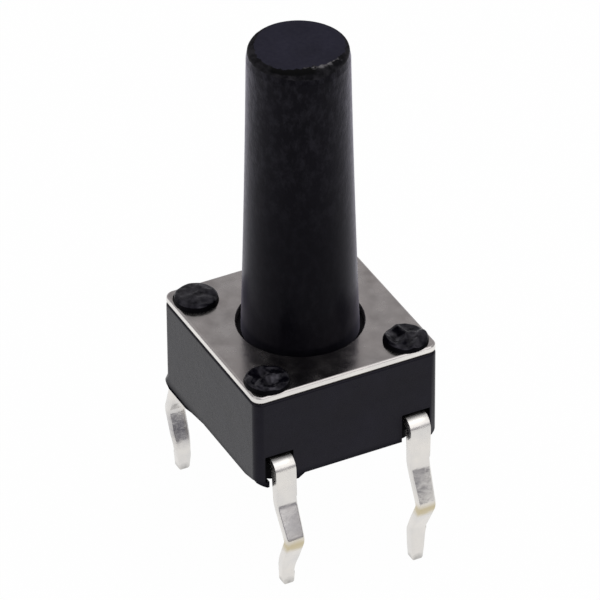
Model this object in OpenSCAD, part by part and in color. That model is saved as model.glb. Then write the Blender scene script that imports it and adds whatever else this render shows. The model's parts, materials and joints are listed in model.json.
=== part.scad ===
// Through-hole tactile push button switch with a tall tapered button.
// The origin is the centre of the seating plane, where the base meets the circuit board.
// +Z runs up along the button. The four leads leave the +X and -X sides and pass down
// through the board, so they lie below the origin.

/* [Base] */
// Width of the moulded base across the two lead sides
base_w = 6.1; // [5.8:0.05:6.2]
// Depth of the base across the two plain sides
base_d = 6.0; // [5.8:0.02:6.06]
// Corner radius of the base
base_corner_r = 0.28; // [0.1:0.02:0.4]
// Height of the base's top face above the seat
base_top = 3.25; // [3.1:0.05:3.4]
// Height of the lower edge of the four sides above the seat
skirt_z = 0.37; // [0.25:0.01:0.45]
// How far the seating pad lies inside the four sides
pad_inset = 0.6; // [0.5:0.05:0.7]

/* [Base foot and lips] */
// Length of the trim under each corner that has no foot, along the corner's diagonal
corner_trim = 0.42; // [0.3:0.02:0.5]
// How far that trim has risen at the corner
corner_rise = 0.13; // [0.05:0.01:0.2]
// Height of the corner foot's underside above the seat
foot_z = 0.16; // [0.05:0.01:0.2]
// Length of the corner foot along the plain side
foot_len = 1.4; // [1:0.05:1.8]
// Length of the steep slope at the end of the corner foot
foot_slope = 0.4; // [0.3:0.05:0.6]
// Height of that slope
foot_step = 0.1; // [0.06:0.01:0.13]
// Length of the faint slope from there to the side's lower edge
foot_fade = 0.8; // [0.5:0.1:1]
// How far the corner foot flares out past the lead side
foot_flare = 0.18; // [0.02:0.01:0.2]
// Height above the seat at which the flare starts
flare_top = 0.62; // [0.56:0.02:0.7]
// Height of the flare's widest part
flare_z = 0.3; // [0.26:0.01:0.36]
// How far the foot's underside is drawn in behind the lead side
foot_tuck = 0.05; // [0.01:0.01:0.08]
// Height of the lips beside each lead above the seat
lip_z = 0.23; // [0.1:0.01:0.24]
// Height of a lip's top in the mouth of the notch
lip_top = 0.43; // [0.38:0.01:0.5]
// How far a lip narrows the mouth of the notch
lip_overlap = 0.13; // [0.05:0.01:0.13]
// Flat length of a lip on the corner side of a lead
lip_outer = 0.07; // [0.05:0.01:0.15]
// Flat length of a lip on the middle side of a lead
lip_inner = 0.3; // [0.2:0.05:0.4]
// Length of the slope from a lip's underside up to the height of its top
lip_slope = 0.3; // [0.15:0.05:0.35]

/* [Contact chamber] */
// Radius of the round chamber that holds the dome and the button's flange
chamber_r = 2.25; // [2.15:0.01:2.35]
// Height of the chamber's floor above the seat
chamber_floor = 1.25; // [1.15:0.05:1.3]

/* [Stakes] */
// Distance of each stake's centre from the two nearest edges of the cover
stake_inset = 0.72; // [0.7:0.01:0.8]
// Radius of a stake where it passes through the cover
stake_r = 0.5; // [0.4:0.02:0.5]
// Radius of the stake's formed head
stake_head_r = 0.68; // [0.6:0.01:0.7]
// Height of the head above the cover
stake_head_h = 0.27; // [0.15:0.01:0.3]
// Height of the head's upright rim
stake_rim_h = 0.09; // [0.05:0.01:0.12]
// Radius of the flattened top of the head
stake_flat_r = 0.5; // [0.4:0.02:0.6]
// Radial clearance between a stake and its hole in the cover
stake_gap = 0.03; // [0.01:0.01:0.05]

/* [Cover] */
// Width of the metal cover across the lead sides
cover_w = 6.1; // [6:0.02:6.2]
// Depth of the cover
cover_d = 6.0; // [5.96:0.02:6.1]
// Thickness of the cover
cover_t = 0.25; // [0.15:0.01:0.35]
// Corner radius of the cover
cover_corner_r = 0.3; // [0.2:0.05:0.5]
// Radius of the hole that the button passes through
cover_hole_r = 1.9; // [1.85:0.01:2]

/* [Button] */
// Height of the button's top above the seat
button_top = 13.0; // [7:0.5:15]
// Radius of the button where it leaves the cover
button_foot_r = 1.75; // [1.7:0.01:1.8]
// Radius of the button at its top
button_tip_r = 1.51; // [1.4:0.005:1.6]
// How much the button's side is hollowed below a straight taper
button_waist = 0.02; // [0:0.005:0.03]
// Height of the drawn-in rim below the top
rim_h = 0.3; // [0.1:0.05:0.4]
// How far the rim is drawn in
rim_in = 0.035; // [0.01:0.005:0.06]
// Radius of the edge round the top
button_edge_r = 0.06; // [0.02:0.01:0.15]
// Radius of the flange that the cover holds down
flange_r = 2.17; // [2.1:0.01:2.2]
// Thickness of the flange
flange_t = 0.7; // [0.5:0.05:0.8]
// Radius of the nub that presses the dome
nub_r = 0.7; // [0.5:0.05:0.9]
// Gap between the resting flange and the cover
flange_gap = 0.02; // [0.01:0.01:0.04]

/* [Dome] */
// Radius of the snap dome's rim
dome_r = 2.08; // [2:0.01:2.12]
// Height of the dome
dome_h = 0.5; // [0.42:0.02:0.55]
// Thickness of the dome's sheet
dome_t = 0.08; // [0.05:0.01:0.1]
// Gap between the nub and the resting dome
nub_gap = 0.02; // [0.01:0.01:0.04]
// How far the button travels until the dome closes the contact
travel = 0.25; // [0.2:0.01:0.3]

/* [Leads] */
// Spacing of the two leads on each side
lead_pitch = 4.5; // [4.4:0.02:4.56]
// Distance of a lead's outer face from the centre plane
lead_out = 3.43; // [3.38:0.01:3.5]
// Thickness of the terminal sheet
lead_t = 0.3; // [0.25:0.01:0.32]
// Width of a lead
lead_w = 0.66; // [0.56:0.02:0.7]
// Width of a lead at its tip
tip_w = 0.34; // [0.3:0.02:0.44]
// Outer radius of the bend where a lead turns down
bend_r = 0.42; // [0.38:0.01:0.43]
// Width of a lead at its knee
knee_w = 0.56; // [0.5:0.02:0.66]
// Width of a lead a little above its return
waist_w = 0.54; // [0.5:0.02:0.56]
// Size of the trimmed corners of a tip
tip_trim = 0.04; // [0.02:0.01:0.12]
// Outward lean of each lead in degrees: +X front, +X back, -X front, -X back
lead_lean = [2, -2, 5, 2]; // [-4:1:6]
// How far each lead stands off its place along the side, in the same order
lead_shift = [0.03, -0.03, -0.03, 0]; // [-0.03:0.01:0.03]
// Depth below the seat of the end of each lead's straight part, in the same order
lead_straight = [0.2, 0.32, 0.15, 0.15]; // [0.05:0.01:0.8]
// Depth of each lead's knee below the seat, in the same order
lead_knee = [1.3, 1.61, 1.57, 1.5]; // [1.25:0.01:1.65]
// How far each lead's knee stands out from its straight part, in the same order
knee_out = [0.6, 0.59, 0.44, 0.42]; // [0.2:0.01:0.65]
// Depth below the seat at which each lead has come back in, in the same order
lead_return = [2.55, 2.85, 2.75, 2.7]; // [2.5:0.05:2.9]
// How far each lead has then come back in behind its straight part, in the same order
return_in = [0.01, 0, 0.16, 0.1]; // [0:0.01:0.25]
// Depth of each lead's tip below the seat, in the same order
lead_tip = [3.1, 3.98, 3.42, 3.5]; // [3:0.02:4]
// How far each lead lies inside its straight part at the longest tip's depth
tip_in = [0.04, 0, 0.21, 0.15]; // [0:0.01:0.3]

/* [Notches] */
// Width of the notch round each lead
notch_w = 0.92; // [0.8:0.02:0.94]
// Depth of the notch behind the side of the base
notch_depth = 0.5; // [0.3:0.05:0.55]
// Height of the notch above the terminal
notch_gap = 0.08; // [0.05:0.01:0.15]

/* [Contacts] */
// Width of the tongue that carries the centre contact
centre_tongue_w = 0.9; // [0.7:0.05:1.1]
// Radius of the centre contact
centre_contact_r = 0.4; // [0.3:0.05:0.45]
// Distance of each outer tongue from the centre plane
fork_pos = 1.75; // [1.65:0.01:1.8]
// Width of each outer tongue
fork_w = 0.5; // [0.4:0.02:0.6]
// How far the outer tongues reach past the centre plane
fork_reach = 1.1; // [0.9:0.05:1.3]

/* [Hidden] */
$fn = 96;
eps = 0.01;
cover_top = base_top + cover_t;
flange_top = base_top - flange_gap;
flange_bottom = flange_top - flange_t;
dome_top = chamber_floor + dome_h;
nub_bottom = dome_top + nub_gap;
contact_top = dome_top - dome_t - travel;
strip_z = chamber_floor - lead_t;
lead_y = lead_pitch / 2;
// centre of the bend where a lead turns down
bend_x = lead_out - bend_r;
bend_z = chamber_floor - bend_r;
button_steps = 8;
curve_steps = 5;
// lengths over which a lead's three bends are rounded, on each side of the bend
top_round = 0.18;
knee_round = 0.2;
return_round = 0.25;
// places along a lead where its taper changes, above its return and above its tip
waist_rise = 0.5;
tip_rise = 0.45;
tip_flare = 0.04;

// ---- shared outlines ----

// Rectangle with rounded corners, centred on the origin
module round_rect(w, d, r) {
    for (x = [-1, 1], y = [-1, 1])
        translate([x * (w / 2 - r), y * (d / 2 - r)]) circle(r = r, $fn = 48);
    square([w - 2 * r, d], center = true);
    square([w, d - 2 * r], center = true);
}

function unit(v) = v / norm(v);

// Points of a curve that rounds the corner b of the path a, b, c, starting s away from it
function rounded(a, b, c, s) =
    let (p = b + s * unit(a - b), q = b + s * unit(c - b))
    [for (i = [0:curve_steps])
        let (t = i / curve_steps)
        (1 - t) * (1 - t) * p + 2 * t * (1 - t) * b + t * t * q];

// Direction to the right of the step from a to b
function right_of(a, b) = let (d = unit(b - a)) [d[1], -d[0]];

// A path moved t to its right, with sharp mitres
function inset_path(p, t) =
    [for (i = [0:len(p) - 1])
        let (
            a = right_of(p[max(i - 1, 0)], p[max(i, 1)]),
            b = right_of(p[min(i, len(p) - 2)], p[min(i + 1, len(p) - 1)]),
            m = unit(a + b)
        )
        p[i] + m * t / (m * a)];

// ---- terminals ----

// Outer face of a lead below its bend, in side view from the bend's centre. It runs on past
// the longest tip, because lead_front() cuts every tip to its own depth.
function leg_path(place) =
    let (
        seat = [bend_r, -bend_z],
        start = seat + [0, -lead_straight[place]],
        knee = seat + [knee_out[place], -lead_knee[place]],
        back = seat + [-return_in[place], -lead_return[place]],
        tip = seat + [-tip_in[place], -max(lead_tip)],
        tail = 2 * tip - back
    )
    concat(
        [[bend_r, 0]],
        rounded([bend_r, 0], start, knee, top_round),
        rounded(start, knee, back, knee_round),
        rounded(knee, back, tail, return_round),
        [tail]
    );

// Side view of one lead: the strip's end, the bend and the kinked leg
module lead_profile(place) {
    lean = lead_lean[place];
    outer = leg_path(place);
    inner = inset_path(outer, lead_t);
    last = len(outer) - 1;
    translate([-eps, strip_z]) square([bend_x + 2 * eps, lead_t]);
    translate([bend_x, bend_z]) {
        intersection() {
            difference() {
                circle(r = bend_r);
                circle(r = bend_r - lead_t);
            }
            polygon([
                [0, 0],
                2 * bend_r * [cos(lean - 1), sin(lean - 1)],
                2 * bend_r * [1, 1],
                [0, 2 * bend_r]
            ]);
        }
        rotate(lean) polygon(concat(outer, [for (i = [0:last]) inner[last - i]]));
    }
}

// Front view of one lead: full width along its straight part, then tapers to the tip
module lead_front(place) {
    tip = lead_tip[place];
    side = [
        [lead_w / 2, base_top],
        [lead_w / 2, -lead_straight[place]],
        [knee_w / 2, -lead_knee[place]],
        [waist_w / 2, -lead_return[place] + waist_rise],
        [tip_w / 2 + tip_flare, -tip + tip_rise],
        [tip_w / 2, -tip + tip_trim],
        [tip_w / 2 - tip_trim, -tip]
    ];
    last = len(side) - 1;
    polygon(concat(side, [for (i = [0:last]) [-side[last - i][0], side[last - i][1]]]));
}

// The lead with this place in the lists, turned to the +X side of y = 0
module lead(place) {
    translate([0, lead_shift[place], 0])
        intersection() {
            rotate([90, 0, 0])
                linear_extrude(lead_w + eps, center = true) lead_profile(place);
            translate([-eps, 0, 0])
                rotate([90, 0, 90])
                    linear_extrude(2 * lead_out) lead_front(place);
        }
}

// A strip with a lead at each end; first is the place of its +X lead in the lists
module terminal_strip(first) {
    lead(first);
    mirror([1, 0, 0]) lead(first + 2);
}

// Front strip, with a tongue to the raised centre contact
module centre_terminal_shape() {
    translate([0, -lead_y, 0]) terminal_strip(0);
    translate([-centre_tongue_w / 2, -lead_y, strip_z])
        cube([centre_tongue_w, lead_y + centre_tongue_w / 2, lead_t]);
    translate([0, 0, strip_z]) cylinder(r = centre_contact_r, h = contact_top - strip_z);
}

// Back strip, with a two-pronged fork that lies under the dome's rim
module fork_terminal_shape() {
    translate([0, lead_y, 0]) terminal_strip(1);
    for (x = [-fork_pos, fork_pos])
        translate([x - fork_w / 2, -fork_reach, strip_z])
            cube([fork_w, fork_reach + lead_y, lead_t]);
}

module centre_terminal() {
    color([0.84, 0.82, 0.80]) centre_terminal_shape();
}

module fork_terminal() {
    color([0.84, 0.82, 0.80]) fork_terminal_shape();
}

// ---- base ----

// The notch round the +X lead at y = 0, open at the side and below
module notch() {
    translate([base_w / 2 - notch_depth, -notch_w / 2, -eps])
        cube([notch_depth + 1, notch_w, chamber_floor + notch_gap + eps]);
}

// Lip that hangs down on the +Y side of a notch at y = 0, with a flat of the given length.
// Its narrow upper part lies inside the block.
module lip(flat) {
    start = notch_w / 2 - lip_overlap;
    end = start + flat + lip_slope;
    translate([base_w / 2 - notch_depth - eps, 0, 0])
        rotate([90, 0, 90])
            linear_extrude(notch_depth + eps)
                polygon([
                    [start, lip_top],
                    [start, lip_z],
                    [start + flat, lip_z],
                    [end, lip_top],
                    [end, lip_top + corner_rise],
                    [notch_w / 2, lip_top + corner_rise],
                    [notch_w / 2, lip_top]
                ]);
}

// The lips of the +X side; the -X side has the same after half a turn
module side_lips() {
    translate([0, -lead_y, 0]) lip(lip_inner);
    translate([0, -lead_y, 0]) mirror([0, 1, 0]) lip(lip_outer);
    translate([0, lead_y, 0]) lip(lip_outer);
}

// Foot at the -X, -Y corner: a side view carried back from the plain side
module corner_foot() {
    translate([-base_w / 2, -base_d / 2 + pad_inset + eps, 0])
        rotate([90, 0, 0])
            linear_extrude(pad_inset + eps)
                polygon([
                    [foot_tuck, skirt_z + eps],
                    [foot_tuck, foot_z],
                    [foot_len, foot_z],
                    [foot_len + foot_slope, foot_z + foot_step],
                    [foot_len + foot_slope + foot_fade, skirt_z],
                    [foot_len + foot_slope + foot_fade, skirt_z + eps]
                ]);
}

// Thin outline of that foot's outer end at the height z, moved out past the lead side
module foot_level(out, z) {
    translate([-base_w / 2 - out, -base_d / 2, z])
        linear_extrude(eps) {
            translate([base_corner_r, base_corner_r]) circle(r = base_corner_r, $fn = 32);
            translate([base_corner_r, 0]) square(pad_inset);
            translate([0, base_corner_r]) square(pad_inset);
        }
}

// The flared outer end of that foot
module foot_end() {
    levels = [
        [0, flare_top],
        [foot_flare, flare_z],
        [foot_flare * 0.7, (flare_z + foot_z) / 2],
        [-foot_tuck, foot_z]
    ];
    for (i = [1:len(levels) - 1])
        hull() {
            foot_level(levels[i - 1][0], levels[i - 1][1]);
            foot_level(levels[i][0], levels[i][1]);
        }
}

// Wedge that trims the lower edge of the corner at the given angle
module corner_wedge(angle) {
    x = sign(cos(angle)) * (base_w / 2 - base_corner_r);
    y = sign(sin(angle)) * (base_d / 2 - base_corner_r);
    translate([x, y, skirt_z])
        rotate(angle)
            rotate([90, 0, 0])
                linear_extrude(4 * corner_trim, center = true)
                    polygon([
                        [base_corner_r - corner_trim, 0],
                        [base_corner_r - corner_trim, -eps],
                        [base_corner_r + eps, -eps],
                        [base_corner_r + eps, corner_rise]
                    ]);
}

// Stake with its formed head, on the base's top face
module stake() {
    translate([0, 0, base_top - eps]) cylinder(r = stake_r, h = cover_t + 2 * eps);
    translate([0, 0, cover_top])
        rotate_extrude()
            polygon([
                [0, 0],
                [stake_head_r, 0],
                [stake_head_r, stake_rim_h],
                [stake_flat_r, stake_head_h],
                [0, stake_head_h]
            ]);
}

module at_stakes() {
    for (x = [-1, 1], y = [-1, 1])
        translate([x * (cover_w / 2 - stake_inset), y * (cover_d / 2 - stake_inset), 0])
            children();
}

module at_leads() {
    for (side = [0, 1], y = [-lead_y, lead_y])
        mirror([side, 0, 0]) translate([0, y, 0]) children();
}

// The moulded block with its seating pad, its foot, its trimmed corners and open notches
module base_block() {
    difference() {
        union() {
            translate([0, 0, skirt_z])
                linear_extrude(base_top - skirt_z)
                    round_rect(base_w, base_d, base_corner_r);
            linear_extrude(skirt_z + eps)
                round_rect(base_w - 2 * pad_inset, base_d - 2 * pad_inset, base_corner_r);
            intersection() {
                corner_foot();
                linear_extrude(base_top) round_rect(base_w, base_d, base_corner_r);
            }
            foot_end();
        }
        for (angle = [-45, 45, 135])
            corner_wedge(angle);
        at_leads() notch();
    }
}

module base() {
    color([0.13, 0.13, 0.14]) {
        difference() {
            union() {
                base_block();
                intersection() {
                    for (turn = [0, 180])
                        rotate(turn) side_lips();
                    linear_extrude(base_top) round_rect(base_w, base_d, base_corner_r);
                }
            }
            translate([0, 0, chamber_floor])
                cylinder(r = chamber_r, h = base_top);
            centre_terminal_shape();
            fork_terminal_shape();
        }
        at_stakes() stake();
    }
}

// ---- cover, button and dome ----

module cover() {
    color([0.52, 0.50, 0.48])
        translate([0, 0, base_top])
            difference() {
                linear_extrude(cover_t) round_rect(cover_w, cover_d, cover_corner_r);
                translate([0, 0, -eps]) cylinder(r = cover_hole_r, h = cover_t + 2 * eps);
                at_stakes()
                    translate([0, 0, -eps])
                        cylinder(r = stake_r + stake_gap, h = cover_t + 2 * eps);
            }
}

// Radius of the button's side at the share t of its height above the cover
function button_r(t) =
    button_foot_r + (button_tip_r - button_foot_r) * t - 4 * button_waist * t * (1 - t);

module button() {
    side_top = button_top - rim_h;
    rim_r = button_tip_r - rim_in;
    edge_z = button_top - button_edge_r;
    color([0.08, 0.08, 0.10])
        rotate_extrude()
            polygon(concat(
                [
                    [0, nub_bottom],
                    [nub_r, nub_bottom],
                    [nub_r, flange_bottom],
                    [flange_r, flange_bottom],
                    [flange_r, flange_top],
                    [button_foot_r, flange_top]
                ],
                [for (i = [0:button_steps])
                    let (t = i / button_steps)
                    [button_r(t), cover_top + (side_top - cover_top) * t]],
                [for (i = [0:curve_steps])
                    let (a = 90 * i / curve_steps)
                    [rim_r - button_edge_r * (1 - cos(a)), edge_z + button_edge_r * sin(a)]],
                [[0, button_top]]
            ));
}

module dome() {
    sphere_r = (dome_r * dome_r + dome_h * dome_h) / (2 * dome_h);
    color([0.80, 0.78, 0.72])
        intersection() {
            translate([0, 0, dome_top - sphere_r])
                difference() {
                    sphere(r = sphere_r);
                    sphere(r = sphere_r - dome_t);
                }
            translate([0, 0, chamber_floor]) cylinder(r = dome_r + eps, h = dome_h + eps);
        }
}

base();
cover();
button();
dome();
centre_terminal();
fork_terminal();
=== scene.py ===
"""Looks of the tactile push button switch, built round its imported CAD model.

Everything is in metres in the CAD frame: +Z up, the origin at the centre of the seat.
"""
import json
import math

import bmesh
import bpy
from mathutils import Matrix, Vector, noise

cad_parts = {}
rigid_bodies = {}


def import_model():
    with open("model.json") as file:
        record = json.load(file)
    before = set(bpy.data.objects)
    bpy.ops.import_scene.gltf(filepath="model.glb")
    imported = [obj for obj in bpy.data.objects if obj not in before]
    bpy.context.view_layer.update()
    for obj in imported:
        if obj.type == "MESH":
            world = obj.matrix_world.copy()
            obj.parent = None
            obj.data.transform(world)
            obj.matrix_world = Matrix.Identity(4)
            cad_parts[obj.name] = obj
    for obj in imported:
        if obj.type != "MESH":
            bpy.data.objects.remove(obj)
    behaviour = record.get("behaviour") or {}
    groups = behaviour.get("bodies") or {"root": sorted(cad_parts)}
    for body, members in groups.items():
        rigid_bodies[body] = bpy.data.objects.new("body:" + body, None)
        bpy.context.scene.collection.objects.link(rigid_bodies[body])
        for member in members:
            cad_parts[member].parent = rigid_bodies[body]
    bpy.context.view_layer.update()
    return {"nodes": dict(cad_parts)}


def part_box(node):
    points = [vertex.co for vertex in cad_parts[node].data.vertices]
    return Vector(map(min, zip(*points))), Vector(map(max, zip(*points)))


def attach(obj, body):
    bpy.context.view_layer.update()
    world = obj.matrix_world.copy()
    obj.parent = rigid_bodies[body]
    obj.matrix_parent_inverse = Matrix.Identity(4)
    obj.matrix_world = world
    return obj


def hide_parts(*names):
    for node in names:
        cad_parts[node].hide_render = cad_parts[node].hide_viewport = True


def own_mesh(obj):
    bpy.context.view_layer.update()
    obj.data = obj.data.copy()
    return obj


for leftover in list(bpy.data.objects):
    bpy.data.objects.remove(leftover)
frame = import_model()

MM = 0.001

# Heights and edges that the pieces share, taken from the frame
BASE_LOW, BASE_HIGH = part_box("base")
COVER_LOW, COVER_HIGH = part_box("cover")
BUTTON_LOW, BUTTON_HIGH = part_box("button")
LEAD_LOW = min(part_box("centre_terminal")[0].z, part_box("fork_terminal")[0].z)
COVER_BOTTOM = COVER_LOW.z
COVER_TOP = COVER_HIGH.z
BUTTON_TOP = BUTTON_HIGH.z

# Rounding of the edges, and the zone where a lead's long edges are rounded, clear of its tip
BASE_EDGE = 0.035 * MM
BASE_TOP_EDGE = 0.09 * MM
COVER_TOP_EDGE = 0.07 * MM
COVER_BOTTOM_EDGE = 0.07 * MM
COVER_HOLE_EDGE = 0.05 * MM
LEAD_EDGE = 0.06 * MM
LEAD_RIM_ZONE = (-2.9 * MM, 0.8 * MM)
LEAD_TIP_CLEAR = 0.2 * MM

# Stakes: size of the formed heads, and each one's centre on the cover and crumple depth
STAKE_HEAD_R = 0.68 * MM
STAKES = ((Vector((2.38, -2.29)) * MM, 1.3), (Vector((2.40, 2.24)) * MM, 1.1),
          (Vector((-2.27, -2.29)) * MM, 0.5), (Vector((-2.33, 2.28)) * MM, 0.8))

# Button: its end's radius, and how far in the edge round it is worn at these turns
END_R = 1.475 * MM
WORN_WIDTHS = ((-180, 0.05 * MM), (-125, 0.22 * MM), (-50, 0.25 * MM), (-12, 0.44 * MM),
               (18, 0.32 * MM), (60, 0.14 * MM), (110, 0.08 * MM), (180, 0.05 * MM))
WORN_SLOPE = 0.36
WORN_REACH = 0.7 * MM
# Where that edge is painted deep black as shade, and its scuffs with painted highlights: turn
# round the axis and distance from it
PAINTED_SHADE_EDGE = (-34, 1.22 * MM)
SCUFF_GLINTS = ((-17, 1.0 * MM), (-5, 1.1 * MM), (7, 1.15 * MM), (16, 1.17 * MM),
          (25, 1.25 * MM), (33, 1.3 * MM))

# Leads: a stain a little below each knee, dark spots, and on the -X front one a tarnish
# darkened further as painted dark reflection
STAIN_DROP = 0.12 * MM
STAIN_SPAN = 0.3 * MM
LEAD_SPOTS = (Vector((-3.62, -2.71, -1.12)) * MM, Vector((-3.62, -2.38, -1.22)) * MM)
TARNISH_AND_DARK_REFLECTION = Vector((-3.7, -2.28, -2.1)) * MM

# Base: the underside's faces lie below SKIRT or more than INSIDE_GAP in from the outside,
# and take a darker, duller plastic as painted shade; the gloss rises from none over the
# heights of LOW_STRIP, which paints shade along the bottom of the sides
SKIRT = 0.55 * MM
INSIDE_GAP = 0.1 * MM
LOW_STRIP = (0.24 * MM, 0.56 * MM)

# Studio: how far the floor is white to what sees it, and the camera
FLOOR_WHITE = 0.98
CAMERA_AZIMUTH = 63.142
CAMERA_ELEVATION = 35.275
CAMERA_ROLL = -0.38
CAMERA_DISTANCE = 0.185
CAMERA_LENS = 380.46
CAMERA_TARGET = Vector((0, 0, 6 * MM))
CAMERA_DROP = 1.496 * MM


# ---- node helpers ----

def new_material(name, **inputs):
    """A material with one Principled shader whose plain inputs are set by name."""
    material = bpy.data.materials.new(name)
    material.use_nodes = True
    shader = material.node_tree.nodes["Principled BSDF"]
    for key, value in inputs.items():
        shader.inputs[key.replace("_", " ")].default_value = value
    return material, shader


def add(material, kind, **settings):
    """A new node with its properties and inputs set by name."""
    node = material.node_tree.nodes.new("ShaderNode" + kind)
    for key, value in settings.items():
        name = key.replace("_", " ")
        if name in node.inputs:
            node.inputs[name].default_value = value
        else:
            setattr(node, key, value)
    return node


def link(material, source, target):
    material.node_tree.links.new(source, target)


def noise_value(material, scale, detail=3.0, rough=0.5, stretch=(1, 1, 1)):
    """Noise in the object's own space, with scale in features per metre."""
    place = add(material, "TexCoord")
    spread = add(material, "Mapping", Scale=stretch)
    field = add(material, "TexNoise", Scale=scale, Detail=detail, Roughness=rough)
    link(material, place.outputs["Object"], spread.inputs["Vector"])
    link(material, spread.outputs["Vector"], field.inputs["Vector"])
    return field.outputs["Fac"]


def remap(material, value, low, high, start=0.3, end=0.7):
    """The value from start to end, spread over low to high."""
    spread = add(material, "MapRange", From_Min=start, From_Max=end, To_Min=low, To_Max=high)
    link(material, value, spread.inputs["Value"])
    return spread.outputs["Result"]


def combine(material, operation, first, second):
    result = add(material, "Math", operation=operation)
    link(material, first, result.inputs[0])
    link(material, second, result.inputs[1])
    return result.outputs["Value"]


def times(material, first, second):
    return combine(material, "MULTIPLY", first, second)


def height_mask(material, start, end):
    """0 at one height of the object and 1 at the other."""
    place = add(material, "TexCoord")
    split = add(material, "SeparateXYZ")
    link(material, place.outputs["Object"], split.inputs["Vector"])
    return remap(material, split.outputs["Z"], 0, 1, start, end)


def near_mask(material, point, radius):
    """1 at a point of the object, down to 0 at this distance from it."""
    place = add(material, "TexCoord")
    gap = add(material, "VectorMath", operation="DISTANCE")
    gap.inputs[1].default_value = point
    link(material, place.outputs["Object"], gap.inputs[0])
    return remap(material, gap.outputs["Value"], 1, 0, 0, radius)


def mix_colour(material, factor, first, second):
    """Mix of two colours, each a value or a socket."""
    mix = add(material, "Mix", data_type="RGBA")
    link(material, factor, mix.inputs["Factor"])
    for socket, colour in ((mix.inputs[6], first), (mix.inputs[7], second)):
        if isinstance(colour, tuple):
            socket.default_value = (*colour, 1)
        else:
            link(material, colour, socket)
    return mix.outputs[2]


def bump(material, shader, layers, strength=None):
    """Bump from (height socket, depth in metres) layers, one on the other."""
    before = None
    for height, depth in layers:
        node = add(material, "Bump", Strength=1.0, Distance=depth)
        link(material, height, node.inputs["Height"])
        if strength:
            link(material, strength, node.inputs["Strength"])
        if before:
            link(material, before, node.inputs["Normal"])
        before = node.outputs["Normal"]
    link(material, before, shader.inputs["Normal"])


# ---- materials ----

BLUISH = (0.90, 0.86, 1, 1)


def moulded_plastic(name, dark, light, roughness, gloss, strip=None):
    """Black moulded plastic with a fine grain and changes of gloss.

    gloss is the specular level, or its range; over the heights of strip it rises from none.
    """
    material, shader = new_material(name, IOR=1.5, Specular_Tint=BLUISH)
    cloud = noise_value(material, 700, 4)
    grain = noise_value(material, 9000, 2)
    fine = noise_value(material, 30000, 1)
    link(material, mix_colour(material, remap(material, cloud, 0, 1), dark, light),
         shader.inputs["Base Color"])
    link(material, remap(material, grain, roughness - 0.04, roughness + 0.04),
         shader.inputs["Roughness"])
    level = remap(material, noise_value(material, 3500, 2), *gloss)
    if strip:
        level = times(material, level, height_mask(material, *strip))
    link(material, level, shader.inputs["Specular IOR Level"])
    bump(material, shader, [(cloud, 8e-6), (grain, 1.5e-6), (fine, 0.3e-6)])
    return material


def button_side():
    """The button's drawn side: mottled near the top, smooth lower down."""
    material, shader = new_material("button_side_plastic", IOR=1.5,
                                    Specular_IOR_Level=0.05, Sheen_Roughness=0.35,
                                    Specular_Tint=BLUISH, Sheen_Tint=(0.82, 0.78, 1, 1))
    cloud = noise_value(material, 900, 4, stretch=(1, 1, 0.3))
    grain = noise_value(material, 6000, 3)
    mottle = noise_value(material, 4200, 5, 0.65, stretch=(1, 1, 0.6))
    rough_top = remap(material, height_mask(material, BUTTON_TOP - 6 * MM,
                                            BUTTON_TOP - 0.5 * MM), 0.2, 1, 0, 1)
    colour = mix_colour(material, remap(material, cloud, 0, 1),
                        (0.0009, 0.0008, 0.0014), (0.0019, 0.0017, 0.0030))
    bruise = times(material, rough_top, remap(material, mottle, 0, 0.9, 0.46, 0.66))
    link(material, mix_colour(material, bruise, colour, (0.0130, 0.0125, 0.0160)),
         shader.inputs["Base Color"])
    link(material, remap(material, grain, 0.28, 0.36), shader.inputs["Roughness"])
    link(material, remap(material, times(material, mottle, rough_top), 0.31, 0.58, 0.1, 0.65),
         shader.inputs["Sheen Weight"])
    bump(material, shader, [(cloud, 10e-6), (mottle, 22e-6), (grain, 4e-6)], rough_top)
    return material


def worn_plastic():
    """The worn edge round the button's end: painted shade makes it black at one side;
    elsewhere a scuffed grey lightened as painted sheen, and scuffs that are painted
    highlights.
    """
    material, shader = new_material("button_worn_edge_painted_light", IOR=1.5,
                                    Specular_IOR_Level=0.05, Roughness=0.5)
    mottle = noise_value(material, 4200, 4)
    # Scuffed grey, lightened to paint the sheen along the button's limbs
    colour = mix_colour(material, remap(material, mottle, 0, 1, 0.4, 0.62),
                        (0.003, 0.0028, 0.004), (0.017, 0.0160, 0.019))
    # Painted shade: the edge near black at one side
    painted_shade = times(material,
                  remap(material, near_mask(material, end_point(*PAINTED_SHADE_EDGE), 0.85 * MM),
                        0, 1, 0.1, 0.3),
                  height_mask(material, BUTTON_TOP - 0.07 * MM, BUTTON_TOP - 0.04 * MM))
    colour = mix_colour(material, painted_shade, colour, (0.0004, 0.0004, 0.0006))
    # Scuffs lightened as painted highlights of the rim's nicks
    for scuff_glint in SCUFF_GLINTS:
        share = times(material, near_mask(material, end_point(*scuff_glint), 0.15 * MM),
                      remap(material, mottle, 0, 2.0, 0.44, 0.6))
        colour = mix_colour(material, share, colour, (0.14, 0.135, 0.14))
    link(material, colour, shader.inputs["Base Color"])
    bump(material, shader, [(mottle, 15e-6)])
    return material


def button_end():
    """The button's flat end: matt, with a violet cast."""
    material, shader = new_material("button_end_plastic", IOR=1.5,
                                    Specular_IOR_Level=0.1)
    cloud = noise_value(material, 1200, 4)
    grain = noise_value(material, 7000, 3)
    link(material, mix_colour(material, remap(material, cloud, 0, 1),
                              (0.010, 0.0094, 0.019), (0.015, 0.0142, 0.027)),
         shader.inputs["Base Color"])
    link(material, remap(material, grain, 0.45, 0.6), shader.inputs["Roughness"])
    bump(material, shader, [(grain, 4e-6)])
    return material


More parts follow.
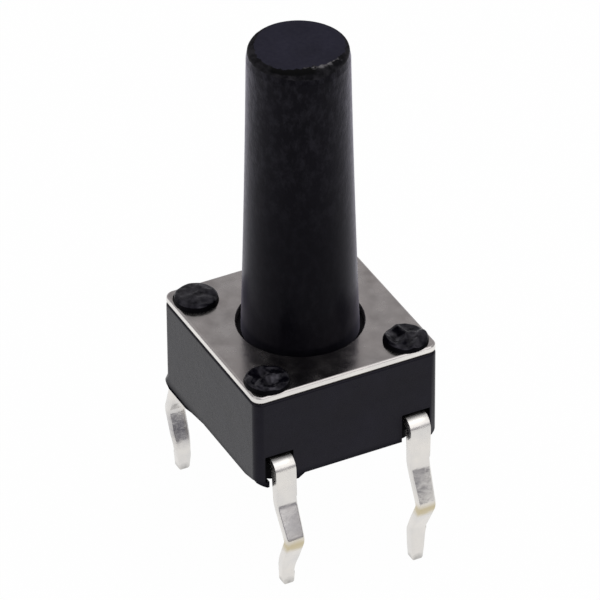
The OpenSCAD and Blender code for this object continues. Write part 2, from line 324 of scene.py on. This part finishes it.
def steel(name, warm, cool, smooth, rough, depth):
    """Stamped sheet: blotches of more and less gloss, a fine grain and slow waves."""
    material, shader = new_material(name, Metallic=1.0)
    cloud = noise_value(material, 600, 4)
    blotch = noise_value(material, 1800, 3)
    grain = noise_value(material, 9000, 2)
    link(material, mix_colour(material, remap(material, cloud, 0, 1), warm, cool),
         shader.inputs["Base Color"])
    link(material, remap(material, blotch, smooth, rough), shader.inputs["Roughness"])
    bump(material, shader, [(cloud, 6 * depth), (blotch, 4 * depth), (grain, depth)])
    return material


def lead_silver(name, knee, spots, tips):
    """Silver-plated brass: a stain below this knee, small dark spots and dark cut tips."""
    material, shader = new_material(name, Metallic=1.0)
    cloud = noise_value(material, 1500, 4)
    blotch = noise_value(material, 2600, 3)
    grain = noise_value(material, 9000, 2)
    colour = mix_colour(material, remap(material, cloud, 0, 1),
                        (0.755, 0.725, 0.685), (0.655, 0.64, 0.625))
    stain = knee.z - STAIN_DROP
    band = times(material, height_mask(material, stain - STAIN_SPAN, stain),
                 height_mask(material, stain + STAIN_SPAN, stain))
    near_knee = remap(material, near_mask(material, knee, 2 * MM), 0, 1, 0, 0.2)
    share = times(material, times(material, band, near_knee),
                  remap(material, blotch, 0.7, 1.5, 0.35, 0.6))
    colour = mix_colour(material, share, colour, (0.55, 0.48, 0.33))
    # The first patch is tarnish darkened further as painted dark reflection
    for points, reach, shade in (((TARNISH_AND_DARK_REFLECTION,), 0.75 * MM, (0.25, 0.245, 0.27)),
                                 (spots, 0.13 * MM, (0.28, 0.27, 0.26)),
                                 (tips, 0.3 * MM, (0.16, 0.16, 0.155))):
        for point in points:
            share = times(material, near_mask(material, point, reach),
                          remap(material, grain, 0.6, 1.2))
            colour = mix_colour(material, share, colour, shade)
    link(material, colour, shader.inputs["Base Color"])
    bend = remap(material, height_mask(material, -0.15 * MM, 0.25 * MM), 0, 0.1, 0, 1)
    link(material, combine(material, "ADD", bend, remap(material, blotch, 0.13, 0.24)),
         shader.inputs["Roughness"])
    bump(material, shader, [(cloud, 8e-6), (blotch, 5e-6), (grain, 1e-6)])
    return material


# ---- pieces ----

def as_piece(bm, name, body, materials, nodes=(), sharp=35):
    """Turns a bmesh into a smooth-shaded piece of the object."""
    for face in bm.faces:
        face.smooth = True
    for edge in bm.edges:
        if len(edge.link_faces) == 2:
            edge.smooth = edge.calc_face_angle(0) < math.radians(sharp)
    mesh = bpy.data.meshes.new(name)
    bm.to_mesh(mesh)
    bm.free()
    for material in materials:
        mesh.materials.append(material)
    piece = bpy.data.objects.new(name, mesh)
    bpy.context.scene.collection.objects.link(piece)
    flats = piece.modifiers.new("flats", "WEIGHTED_NORMAL")
    flats.keep_sharp = True
    flats.weight = 100
    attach(piece, body)
    if nodes:
        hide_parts(*nodes)
    return piece


def clean_copy(node):
    """The node's mesh with its triangles joined back into flat faces."""
    bm = bmesh.new()
    bm.from_mesh(frame["nodes"][node].data)
    bmesh.ops.remove_doubles(bm, verts=bm.verts, dist=1e-6)
    bmesh.ops.dissolve_limit(bm, angle_limit=math.radians(0.5), verts=bm.verts,
                             edges=bm.edges)
    return bm


def sharp_edges(bm, chosen=lambda edge: True, least_angle=35):
    return [edge for edge in bm.edges if len(edge.link_faces) == 2
            and edge.calc_face_angle(0) > math.radians(least_angle) and chosen(edge)]


def round_edges(bm, edges, width, segments=3, clamp=True):
    """Rounds these edges; the clamp keeps the rounding narrower where faces are small."""
    bmesh.ops.bevel(bm, geom=[edge for edge in edges if edge.is_valid], offset=width,
                    offset_type="OFFSET", segments=segments, profile=0.5,
                    affect="EDGES", clamp_overlap=clamp)


def lies_at(edge, height):
    return all(abs(vert.co.z - height) < 0.01 * MM for vert in edge.verts)


def on_outline(edge, corner, slack=0.2 * MM):
    """Whether an edge runs round the outside of a box with this upper corner."""
    return all(max(abs(vert.co.x) - corner.x, abs(vert.co.y) - corner.y) > -slack
               for vert in edge.verts)


def base():
    """The moulded base without its stake heads, which stake_head() makes."""
    bm = clean_copy("base")
    cut = bmesh.ops.bisect_plane(bm, geom=bm.verts[:] + bm.edges[:] + bm.faces[:],
                                 plane_co=(0, 0, COVER_TOP), plane_no=(0, 0, 1),
                                 clear_outer=True)
    rims = [part for part in cut["geom_cut"] if isinstance(part, bmesh.types.BMEdge)]
    bmesh.ops.holes_fill(bm, edges=rims)
    top = sharp_edges(bm, lambda edge: lies_at(edge, COVER_BOTTOM)
                      and on_outline(edge, BASE_HIGH))
    round_edges(bm, top, BASE_TOP_EDGE, 5, clamp=False)
    round_edges(bm, sharp_edges(bm, least_angle=50), BASE_EDGE)
    bm.normal_update()
    for face in bm.faces:
        middle = face.calc_center_median()
        below = middle.z < SKIRT and face.normal.z < -0.2
        within = max(abs(middle.x) - BASE_HIGH.x,
                     abs(middle.y) - BASE_HIGH.y) < -INSIDE_GAP
        # Faces under the base and in its recesses take the darker plastic: painted shade
        dark = below or (within and middle.z < COVER_BOTTOM - BASE_TOP_EDGE)
        face.material_index = 1 if dark else 0
    as_piece(bm, "base_moulding", "housing",
             [BASE_PLASTIC, SHADE_PAINTED_PLASTIC], ["base"])


def crumple(at, seed, depth):
    """Height share of a head's top at a place on it: ridges with finer dents."""
    ridge = 1 - 3 * abs(noise.noise(at * 1800 + Vector((seed, 0, 0))))
    dent = noise.noise(at * 4500 + Vector((0, seed, 0)))
    return min(1, 1 - depth * (0.3 - 0.3 * ridge - 0.2 * dent))


def stake_head(name, centre, seed, depth):
    """A stake's formed head: a squat disc with an uneven, crumpled top."""
    sides = 96
    height = BASE_HIGH.z - COVER_TOP
    bm = bmesh.new()
    rows = []
    for r_share, z_share in STAKE_PROFILE:
        row = []
        for side in range(sides):
            a = 2 * math.pi * side / sides
            lump = noise.noise(Vector((1.8 * math.cos(a), 1.8 * math.sin(a), seed)))
            r = STAKE_HEAD_R * r_share * (1 - 0.08 * z_share * (1 - lump))
            at = Vector((r * math.cos(a), r * math.sin(a), 0))
            z = height * z_share * (1 - z_share * (1 - crumple(at, seed, depth)))
            row.append(bm.verts.new((centre.x + at.x, centre.y + at.y, COVER_TOP + z)))
        rows.append(row)
    for low, high in zip(rows, rows[1:]):
        for i in range(sides):
            j = (i + 1) % sides
            bm.faces.new((low[i], low[j], high[j], high[i]))
    bm.faces.new(rows[0][::-1])
    bmesh.ops.remove_doubles(bm, verts=rows[-1], dist=1e-6)
    bm.normal_update()
    for face in bm.faces:
        # The head's sides take the darker plastic: painted shade
        face.material_index = 1 if face.normal.z < 0.4 else 0
    as_piece(bm, name, "housing", [STAKE_PLASTIC, SHADE_PAINTED_PLASTIC],
             sharp=70)


def stake_profile():
    """(radius, height) shares of a head, from its foot to the middle of its top."""
    side = [(1, 0), (1, 0.25), (1, 0.5)]
    shoulder = [(0.84 + 0.16 * math.cos(a), 0.5 + 0.3 * math.sin(a))
                for a in [math.pi / 2 * step / 10 for step in range(1, 11)]]
    top = [(0.84 * share, 1 - 0.2 * share * share)
           for share in [1 - step / 24 for step in range(1, 25)]]
    return side + shoulder + top


def stake_heads():
    for index, (centre, depth) in enumerate(STAKES):
        stake_head(f"stake_head_{index + 1}", centre, 10.0 * index, depth)


def cover():
    """The stamped cover, with a rolled upper edge and bright sheared sides whose bottom strip
    is near black: the duller fracture zone, darkened further as painted shade of the gap to
    the base.
    """
    bm = clean_copy("cover")
    outside = lambda edge: on_outline(edge, COVER_HIGH)
    inside = lambda edge: not outside(edge) and math.hypot(
        *edge.verts[0].co.xy) < COVER_HIGH.x * 0.75
    upper = sharp_edges(bm, lambda edge: lies_at(edge, COVER_TOP) and outside(edge))
    lower = sharp_edges(bm, lambda edge: lies_at(edge, COVER_BOTTOM) and outside(edge))
    hole = sharp_edges(bm, lambda edge: lies_at(edge, COVER_TOP) and inside(edge))
    for edges, width, steps in ((upper, COVER_TOP_EDGE, 6), (lower, COVER_BOTTOM_EDGE, 3),
                                (hole, COVER_HOLE_EDGE, 4)):
        round_edges(bm, edges, width, steps, clamp=False)
    bm.normal_update()
    for face in bm.faces:
        # The bottom strip of the sheared sides is the fracture zone with painted shade of the
        # gap between the cover and the base
        torn_and_shaded = face.calc_center_median().z < COVER_BOTTOM + COVER_BOTTOM_EDGE
        face.material_index = 0 if abs(face.normal.z) > 0.6 else 2 if torn_and_shaded else 1
    as_piece(bm, "cover_plate", "housing",
             [COVER_STEEL, COVER_SHEARED, COVER_TORN_SHADED], ["cover"])


def farthest(node, way, side=lambda point: True):
    """The middle of the node's farthest points in a direction, among those on one side."""
    points = [vert.co for vert in frame["nodes"][node].data.vertices if side(vert.co)]
    reach = max(point.dot(way) for point in points)
    ends = [point for point in points if point.dot(way) > reach - 0.01 * MM]
    return sum(ends, Vector()) / len(ends)


def on_long_rim(point, tips):
    """Whether a point of a terminal is on a lead, between its bend and its tip."""
    low, high = LEAD_RIM_ZONE
    clear = min(tip.z for tip in tips) + LEAD_TIP_CLEAR
    return abs(point.x) > BASE_HIGH.x and max(low, clear) < point.z < high


def terminals():
    """Both terminals, with the rims of their four leads rounded."""
    down = Vector((0, 0, -1))
    for node, spots in (("centre_terminal", LEAD_SPOTS), ("fork_terminal", ())):
        knee = farthest(node, Vector((1, 0, 0)))
        tips = [farthest(node, down, lambda point: point.x > 0),
                farthest(node, down, lambda point: point.x < 0)]
        bm = clean_copy(node)
        rims = sharp_edges(bm, lambda edge: all(on_long_rim(vert.co, tips)
                                                for vert in edge.verts))
        round_edges(bm, rims, LEAD_EDGE, 4, clamp=False)
        round_edges(bm, sharp_edges(bm, least_angle=60), LEAD_EDGE, 3)
        as_piece(bm, node + "_plated", "housing",
                 [lead_silver(node + "_plating", knee, spots, tips)], [node])


def turned_outline(node):
    """(radius, height) of a turned node's corners, from its bottom to its top centre."""
    levels = {}
    for vert in frame["nodes"][node].data.vertices:
        levels.setdefault(round(vert.co.z, 7), set()).add(round(vert.co.xy.length, 7))
    outline = [(0, min(levels))]
    for z in sorted(levels):
        radii = sorted(levels[z])
        last = outline[-1][0]
        if abs(radii[-1] - last) < abs(radii[0] - last):
            radii.reverse()
        outline += [(r, z) for r in radii if (r, z) != outline[-1]]
    return outline + [(0, max(levels))]


def subdivided(outline, step_at):
    """The outline with points added so that no step is longer than step_at(height)."""
    points = [outline[0]]
    for start, end in zip(outline, outline[1:]):
        count = max(1, math.ceil(math.dist(start, end) / step_at(max(start[1], end[1]))))
        points += [(start[0] + (end[0] - start[0]) * i / count,
                    start[1] + (end[1] - start[1]) * i / count)
                   for i in range(1, count + 1)]
    return points


def end_point(turn, r):
    """A point of the button's end, from its turn round the axis and distance from it."""
    return (r * math.cos(math.radians(turn)), r * math.sin(math.radians(turn)), BUTTON_TOP)


def worn_width(a):
    """How far in the end's edge is worn at this turn round the axis."""
    turn = (math.degrees(a) + 180) % 360 - 180
    ragged = 1 + 0.25 * noise.noise(Vector((9 * math.cos(a), 9 * math.sin(a), 0)))
    for (start, first), (end, last) in zip(WORN_WIDTHS, WORN_WIDTHS[1:]):
        if turn <= end:
            return ragged * (first + (last - first) * (turn - start) / (end - start))


def worn(r, a, z):
    """Height of a point of the button once the edge round its end is worn."""
    width = worn_width(a)
    share = min(1, max(0, (r - END_R + width) / width))
    depth = WORN_SLOPE * width * (1 - math.sqrt(1 - share * share))
    return z - depth * max(0, 1 - (BUTTON_TOP - z) / WORN_REACH)


def button():
    """The turned button, its end's edge worn round on one side."""
    sides = 240
    outline = subdivided(turned_outline("button"),
                         lambda z: 0.03 * MM if z > BUTTON_TOP - 0.8 * MM else 0.3 * MM)
    bm = bmesh.new()
    rows = []
    for r, z in outline:
        if r < 1e-6:
            rows.append([bm.verts.new((0, 0, z))])
            continue
        turns = [2 * math.pi * side / sides for side in range(sides)]
        rows.append([bm.verts.new((r * math.cos(a), r * math.sin(a), worn(r, a, z)))
                     for a in turns])
    for low, high in zip(rows, rows[1:]):
        for i in range(sides):
            j = (i + 1) % sides
            loop = [low[i % len(low)], low[j % len(low)], high[j % len(high)],
                    high[i % len(high)]]
            bm.faces.new(list(dict.fromkeys(loop)))
    bm.normal_update()
    for face in bm.faces:
        middle = face.calc_center_median()
        if middle.z > BUTTON_TOP - 0.2 * MM and middle.xy.length < END_R:
            inner = END_R - worn_width(math.atan2(middle.y, middle.x))
            face.material_index = 1 if middle.xy.length < inner + 0.02 * MM else 2
    as_piece(bm, "button_moulding", "plunger",
             [BUTTON_SIDE, BUTTON_END, BUTTON_WORN_PAINTED], ["button"])


def dome():
    """The snap dome, which flattens by the travel as the button goes down in the real switch;
    this piece keeps its shape, on a mesh of its own.
    """
    piece = as_piece(clean_copy("dome"), "dome_sheet", "housing",
                     [DOME_STEEL], ["dome"])
    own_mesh(piece)


# ---- studio ----

def floor():
    """A plain white floor that keeps a little of the object's shadow."""
    bpy.ops.mesh.primitive_circle_add(vertices=96, radius=3, fill_type="NGON",
                                      location=(0, 0, LEAD_LOW))
    sheet = bpy.context.object
    sheet.name = "floor"
    material, shader = new_material("floor_white", Roughness=0.9,
                                    Base_Color=(0.9, 0.9, 0.9, 1))
    paths = add(material, "LightPath")
    glow = add(material, "Emission", Strength=1.0)
    seen = add(material, "MixShader")
    rays = combine(material, "MAXIMUM", paths.outputs["Is Camera Ray"],
                   paths.outputs["Is Glossy Ray"])
    rays = combine(material, "MAXIMUM", rays, paths.outputs["Is Transmission Ray"])
    link(material, remap(material, rays, 0, FLOOR_WHITE, 0, 1), seen.inputs["Fac"])
    link(material, shader.outputs["BSDF"], seen.inputs[1])
    link(material, glow.outputs["Emission"], seen.inputs[2])
    surface = material.node_tree.nodes["Material Output"].inputs["Surface"]
    link(material, seen.outputs["Shader"], surface)
    sheet.data.materials.append(material)


# Studio surroundings: brightness by the sine of the height above the horizon
WORLD_STEPS = (
    (0.0, (0.22, 0.215, 0.24)),
    (0.095, (0.215, 0.21, 0.24)),
    (0.17, (0.40, 0.39, 0.425)),
    (0.28, (0.65, 0.64, 0.66)),
    (0.40, (0.65, 0.64, 0.66)),
    (0.56, (0.315, 0.305, 0.312)),
    (0.75, (0.70, 0.70, 0.70)),
    (1.0, (0.90, 0.90, 0.92)),
)


def world():
    """Studio surroundings: grey round the horizon, pale overhead, white to the camera."""
    studio = bpy.data.worlds.new("studio")
    bpy.context.scene.world = studio
    studio.use_nodes = True
    tree = studio.node_tree
    place = tree.nodes.new("ShaderNodeTexCoord")
    split = tree.nodes.new("ShaderNodeSeparateXYZ")
    ramp = tree.nodes.new("ShaderNodeValToRGB")
    steps = ramp.color_ramp.elements
    while len(steps) < len(WORLD_STEPS):
        steps.new(0.5)
    for step, (position, colour) in zip(steps, WORLD_STEPS):
        step.position = position
        step.color = (*colour, 1)
    tree.links.new(place.outputs["Generated"], split.inputs["Vector"])
    tree.links.new(split.outputs["Z"], ramp.inputs["Fac"])
    tree.links.new(ramp.outputs["Color"], tree.nodes["Background"].inputs["Color"])
    white = tree.nodes.new("ShaderNodeBackground")
    white.inputs["Color"].default_value = (1, 1, 1, 1)
    paths = tree.nodes.new("ShaderNodeLightPath")
    seen = tree.nodes.new("ShaderNodeMixShader")
    tree.links.new(paths.outputs["Is Camera Ray"], seen.inputs["Fac"])
    tree.links.new(tree.nodes["Background"].outputs["Background"], seen.inputs[1])
    tree.links.new(white.outputs["Background"], seen.inputs[2])
    tree.links.new(seen.outputs["Shader"], tree.nodes["World Output"].inputs["Surface"])


def softbox(name, azimuth, elevation, distance, size, power):
    """A square area lamp that faces the object."""
    a, e = math.radians(azimuth), math.radians(elevation)
    away = Vector((math.sin(a) * math.cos(e), -math.cos(a) * math.cos(e), math.sin(e)))
    lamp = bpy.data.lights.new(name, "AREA")
    lamp.size = size
    lamp.energy = power
    holder = bpy.data.objects.new(name, lamp)
    holder.location = away * distance
    holder.rotation_mode = "QUATERNION"
    holder.rotation_quaternion = away.to_track_quat("Z", "Y")
    bpy.context.scene.collection.objects.link(holder)


def lamps():
    softbox("key", 110, 47, 0.6, 0.6, 1.05)
    softbox("fill", -10, 30, 0.6, 0.4, 0.3)


def camera():
    a, e = math.radians(CAMERA_AZIMUTH), math.radians(CAMERA_ELEVATION)
    roll = math.radians(CAMERA_ROLL)
    back = Vector((math.sin(a) * math.cos(e), -math.cos(a) * math.cos(e), math.sin(e)))
    level = Vector((math.cos(a), math.sin(a), 0))
    rise = back.cross(level)
    right = math.cos(roll) * level + math.sin(roll) * rise
    up = math.cos(roll) * rise - math.sin(roll) * level
    data = bpy.data.cameras.new("camera")
    data.lens = CAMERA_LENS
    data.sensor_width = 36
    data.clip_start = 0.01
    holder = bpy.data.objects.new("camera", data)
    turn = Matrix((right, up, back)).transposed().to_4x4()
    place = CAMERA_TARGET - CAMERA_DROP * rise + CAMERA_DISTANCE * back
    holder.matrix_world = Matrix.Translation(place) @ turn
    bpy.context.scene.collection.objects.link(holder)
    bpy.context.scene.camera = holder


BASE_PLASTIC = moulded_plastic("base_moulding_plastic", (0.0025, 0.0022, 0.0045),
                               (0.004, 0.0036, 0.008), 0.29, (0.155, 0.17), LOW_STRIP)
# A darker, duller copy of the base plastic: painted shade under the base, in its recesses and
# on the stake heads' sides
SHADE_PAINTED_PLASTIC = moulded_plastic("base_shade_painted_plastic", (0.0012, 0.0011, 0.0016),
                                    (0.0024, 0.0022, 0.003), 0.5, (0.02, 0.04))
STAKE_PLASTIC = moulded_plastic("stake_plastic", (0.0010, 0.0009, 0.002),
                                (0.002, 0.0018, 0.004), 0.3, (0.03, 0.55))
BUTTON_SIDE = button_side()
BUTTON_END = button_end()
BUTTON_WORN_PAINTED = worn_plastic()
COVER_STEEL = steel("cover_sheet", (0.54, 0.503, 0.488), (0.495, 0.47, 0.46), 0.11, 0.32,
                    0.8e-6)
COVER_SHEARED = steel("cover_sheared_edge", (0.80, 0.775, 0.74), (0.70, 0.68, 0.66),
                      0.25, 0.4, 2e-6)
# Near-black fracture zone: painted shade of the gap between the cover and the base
COVER_TORN_SHADED = steel("cover_torn_edge_painted_shade", (0.10, 0.09, 0.08), (0.05, 0.045, 0.04), 0.45, 0.6,
                   3e-6)
DOME_STEEL = steel("dome_sheet", (0.66, 0.64, 0.60), (0.58, 0.56, 0.52), 0.25, 0.32,
                   0.3e-6)
STAKE_PROFILE = stake_profile()

base()
stake_heads()
cover()
terminals()
button()
dome()
floor()
world()
lamps()
camera()
bpy.context.scene.view_settings.view_transform = "Standard"
